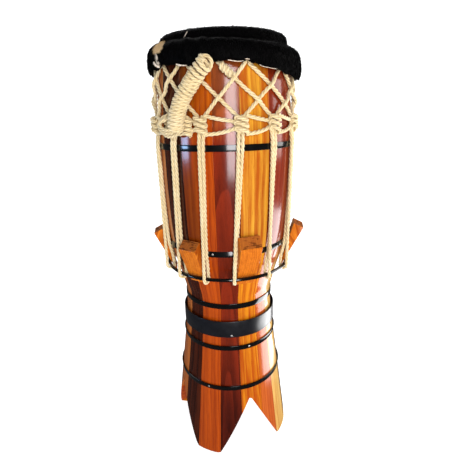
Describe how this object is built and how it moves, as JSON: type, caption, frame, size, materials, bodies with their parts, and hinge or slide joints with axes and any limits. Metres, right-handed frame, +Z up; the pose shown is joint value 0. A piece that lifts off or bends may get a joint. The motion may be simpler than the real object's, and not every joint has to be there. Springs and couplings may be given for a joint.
{
  "type": "ritual drum",
  "caption": "Tall goblet-shaped stave drum with a hair-on hide head, tuned by a net of rope and wooden wedges over an iron ring, bound by iron hoops and standing on cut feet.",
  "frame": {"origin": "on the drum's axis, in the plane of its feet", "axes": "+Z up along the axis towards the head, -Y towards the side seen in the picture, +X to its right"},
  "size_m": [0.3616, 0.3835, 1],
  "materials": {
    "wood_dark_red": "gloss varnish",
    "wood_golden": "gloss varnish",
    "wood_mahogany": "gloss varnish",
    "wood_pale": "gloss varnish",
    "wood_orange": "gloss varnish",
    "wood_dark_brown": "gloss varnish",
    "wood_rosy": "gloss varnish",
    "wedge_wood": "satin varnish, plain end grain on top",
    "black_iron": "gloss black",
    "band_iron": "satin dark grey",
    "rivet": "worn bright",
    "hide": "black hide with the hair on",
    "rope": "twisted cream rope"
  },
  "bodies": {
    "root": {"stave_01": "wood_dark_red", "stave_02": "wood_golden", "stave_03": "wood_mahogany", "stave_04": "wood_pale", "stave_05": "wood_dark_brown", "stave_06": "wood_orange", "stave_07": "wood_dark_red", "stave_08": "wood_golden", "stave_09": "wood_mahogany", "stave_10": "wood_pale", "stave_11": "wood_dark_brown", "stave_12": "wood_golden", "stave_13": "wood_orange", "stave_14": "wood_rosy", "stave_15": "wood_dark_brown", "stave_16": "wood_orange", "hoop_belly": "black_iron", "hoop_belly_rivet": "rivet", "hoop_shoulder": "black_iron", "hoop_shoulder_rivet": "rivet", "hoop_waist": "black_iron", "hoop_waist_rivet": "rivet", "hoop_calf": "black_iron", "hoop_calf_rivet": "rivet", "hoop_ankle": "black_iron", "hoop_ankle_rivet": "rivet", "waist_band": "band_iron", "waist_band_rivet": "rivet", "rod_ring": "black_iron", "wedge_01": "wedge_wood", "wedge_02": "wedge_wood", "wedge_03": "wedge_wood", "wedge_04": "wedge_wood", "wedge_05": "wedge_wood", "wedge_06": "wedge_wood", "wedge_07": "wedge_wood", "hide_head": "hide", "rope_loop_01": "rope", "rope_loop_02": "rope", "rope_loop_03": "rope", "rope_loop_04": "rope", "rope_loop_05": "rope", "rope_loop_06": "rope", "rope_loop_07": "rope", "rope_loop_08": "rope", "rope_loop_09": "rope", "rope_loop_10": "rope", "rope_loop_11": "rope", "rope_loop_12": "rope", "rope_loop_13": "rope", "rope_loop_14": "rope", "rope_net": "rope", "rope_bundle": "rope"}
  },
  "joints": []
}
